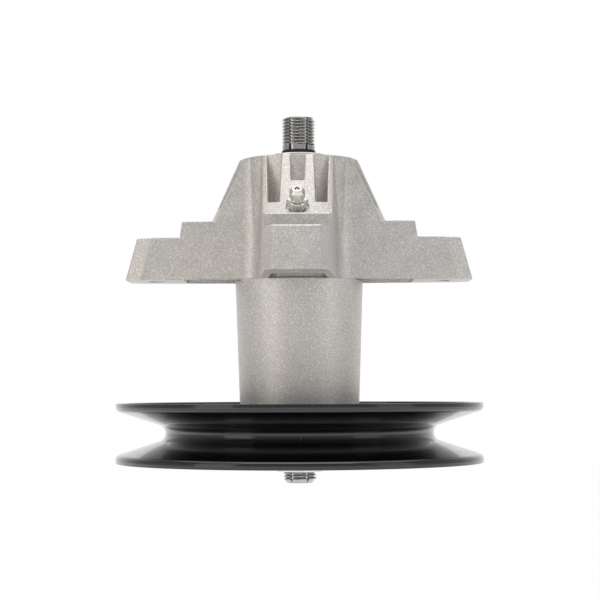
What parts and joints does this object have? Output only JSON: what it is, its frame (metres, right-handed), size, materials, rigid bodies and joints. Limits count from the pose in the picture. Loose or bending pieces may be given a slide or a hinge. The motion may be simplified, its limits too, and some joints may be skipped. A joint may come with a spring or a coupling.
{
  "type": "mower deck spindle",
  "caption": "Cast four-arm spindle housing with a greased shaft on ball bearings, a grooved blade stud and a V-belt pulley.",
  "frame": {"origin": "on the shaft's axis, in the plane of the four pads' deck face", "axes": "+Z along the shaft towards the blade, -Z towards the pulley, -Y towards the grease fitting"},
  "size_m": [0.1588, 0.1588, 0.1587],
  "materials": {
    "cast_aluminium": "satin",
    "turned_steel": "satin",
    "bearing_steel": "polished",
    "seal_rubber": "matt",
    "black_rubber": "matt",
    "black_enamel": "gloss",
    "zinc_plated": "bright",
    "plated_fitting": "bright"
  },
  "bodies": {
    "housing": {"housing": "cast_aluminium", "upper_outer_ring": "bearing_steel", "lower_outer_ring": "bearing_steel", "upper_seal": "seal_rubber", "lower_seal": "seal_rubber", "grease_fitting": "plated_fitting", "grease_spring": "bearing_steel"},
    "shaft": {"shaft": "turned_steel", "upper_inner_ring": "bearing_steel", "lower_inner_ring": "bearing_steel", "spacer_tube": "turned_steel", "pulley_spacer": "turned_steel", "blade_seat_ring": "black_rubber", "pulley_upper_half": "black_enamel", "pulley_lower_half": "black_enamel", "pulley_nut": "zinc_plated"},
    "upper_ball_row": {"upper_ball_row": "bearing_steel"},
    "lower_ball_row": {"lower_ball_row": "bearing_steel"},
    "check_ball": {"grease_check_ball": "bearing_steel"}
  },
  "joints": [
    {"name": "shaft_spin", "type": "hinge", "parent": "housing", "child": "shaft", "pos_m": [0, 0, 0], "axis": [0, 0, 1], "continuous": true},
    {"name": "upper_ball_row_spin", "type": "hinge", "parent": "housing", "child": "upper_ball_row", "pos_m": [0, 0, 0], "axis": [0, 0, 1], "continuous": true},
    {"name": "lower_ball_row_spin", "type": "hinge", "parent": "housing", "child": "lower_ball_row", "pos_m": [0, 0, 0], "axis": [0, 0, 1], "continuous": true},
    {"name": "check_ball_slide", "type": "slide", "parent": "housing", "child": "check_ball", "axis": [0, 0.7431, -0.6691], "range_m": [0, 0.0008], "stiffness_N_per_m": 200, "springref_m": -0.001}
  ],
  "couplings": [
    {"joint": "upper_ball_row_spin", "follows": "shaft_spin", "ratio": 0.38281},
    {"joint": "lower_ball_row_spin", "follows": "shaft_spin", "ratio": 0.38281}
  ]
}
